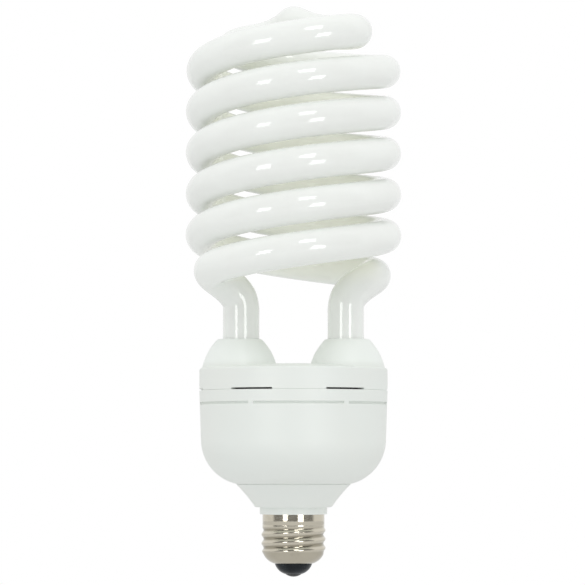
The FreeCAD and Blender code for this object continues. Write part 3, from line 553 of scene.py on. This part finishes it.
finishes = {name: innerFinish(name, *look) for name, look in innerLooks.items()}
finishes["coated_glass"] = coatedGlass()
finishes["housing_white"] = mouldedPlastic()
finishes["shell_nickel"] = platedMetal()
finishes["insulator_black"] = blackInsulator()
finishes["contact_solder"] = solderedTip()
for subpart in frame["record"]["subparts"]:
    for slot in nodes[subpart["node"]].material_slots:
        slot.material = finishes[subpart["material_slot"]]
print("finishes on", len(nodes), "pieces")

makeCup()
makeDeck()
makeHolder("leftHolder", -1)
makeHolder("rightHolder", 1)
makeBaseEnd()
print("housing, cover and end of the base made")

# floor: white to the camera, more so away from the lamp, so that the lamp's shadow stays
floorLook = {"height": -0.12, "size": 3.0, "colour": (0.86, 0.86, 0.86), "whiteRange": (0.15, 0.9, 0.45, 1.0)}
bpy.ops.mesh.primitive_plane_add(size=floorLook["size"], location=(0.0, 0.0, floorLook["height"]))
floor = bpy.context.object
floor.name = "floor"
material, shader = newMaterial("floorWhite")
where = shader.add("TexCoord", out="Object")
fromMiddle = shader.add("VectorMath", {"operation": "LENGTH"}, {0: where}, out="Value")
seen = shader.add("LightPath", out="Is Camera Ray") * fromMiddle.smooth(*floorLook["whiteRange"])
paper = shader.add("BsdfDiffuse", None, {"Color": floorLook["colour"]})
white = shader.add("Emission", None, {"Color": (1.0, 1.0, 1.0), "Strength": 1.0})
shader.finish(shader.add("MixShader", None, {0: seen, 1: paper, 2: white}))
floor.data.materials.append(material)

# world: white to the camera and through glass, an even light on the rest, and dimmer in front and lighter
# behind where metal and glass mirror it
skyLook = {"even": 0.86, "frontToBack": (-0.35, -0.05), "front": 0.28, "back": 0.95}
world = bpy.data.worlds.new("studio")
bpy.context.scene.world = world
shader = Shader(world)
depth = shader.add("SeparateXYZ", None, {0: shader.add("TexCoord", out="Generated")}, out="Y")
camera = shader.add("LightPath", out="Is Camera Ray")
glossy = shader.add("LightPath", out="Is Glossy Ray")
through = shader.add("LightPath", out="Is Transmission Ray")
mirrored = depth.smooth(*skyLook["frontToBack"], skyLook["front"], skyLook["back"])
lit = through + (1 - through) * skyLook["even"]
level = camera + (1 - camera) * (glossy * mirrored + (1 - glossy) * lit)
shader.finish(shader.add("Background", None, {"Color": (1.0, 1.0, 1.0), "Strength": level}), "OutputWorld")

# softboxes: degrees across and up as seen from the coil, distance, width, height, watts
softboxes = {
    "leftBox": (-30.0, 2.0, 1.25, 0.33, 0.46, 3.0),
    "upperBox": (12.0, 39.0, 1.25, 0.33, 0.46, 3.0),
    "rightBox": (27.0, -8.0, 0.80, 0.22, 0.30, 1.3),
    "fillBox": (2.0, 46.0, 1.50, 0.80, 0.80, 3.7),
}
coilMiddle = Vector((0.0, 0.0, 0.17))
for name, (across, up, distance, width, height, watts) in softboxes.items():
    lamp = bpy.data.lights.new(name, "AREA")
    lamp.shape = "RECTANGLE"
    lamp.size = width
    lamp.size_y = height
    lamp.energy = watts
    box = bpy.data.objects.new(name, lamp)
    bpy.context.collection.objects.link(box)
    turn = math.radians(across)
    rise = math.radians(up)
    towards = Vector((math.sin(turn) * math.cos(rise), -math.cos(turn) * math.cos(rise), math.sin(rise)))
    box.location = coilMiddle + towards * distance
    box.rotation_euler = towards.to_track_quat("Z", "Y").to_euler()
    box.visible_diffuse = name == "fillBox"  # the other three only make the reflections in glass and metal
    box.visible_glossy = name != "fillBox"
print("floor, sky and", len(softboxes), "lamps")

# camera: metres, degrees up from level, and millimetres of lens and sensor
view = {
    "side": -0.0004, "distance": 1.071, "height": 0.05244, "tilt": 3.413, "lens": 160.55, "sensor": 36.0,
    "clip": (0.01, 50.0),
}
eye = bpy.data.cameras.new("camera")
eye.sensor_width = view["sensor"]
eye.lens = view["lens"]
eye.clip_start, eye.clip_end = view["clip"]
viewer = bpy.data.objects.new("camera", eye)
bpy.context.collection.objects.link(viewer)
viewer.location = (view["side"], -view["distance"], view["height"])
viewer.rotation_euler = (math.radians(90.0 + view["tilt"]), 0.0, 0.0)
bpy.context.scene.camera = viewer
bpy.context.scene.view_settings.view_transform = "Standard"
print("camera set")
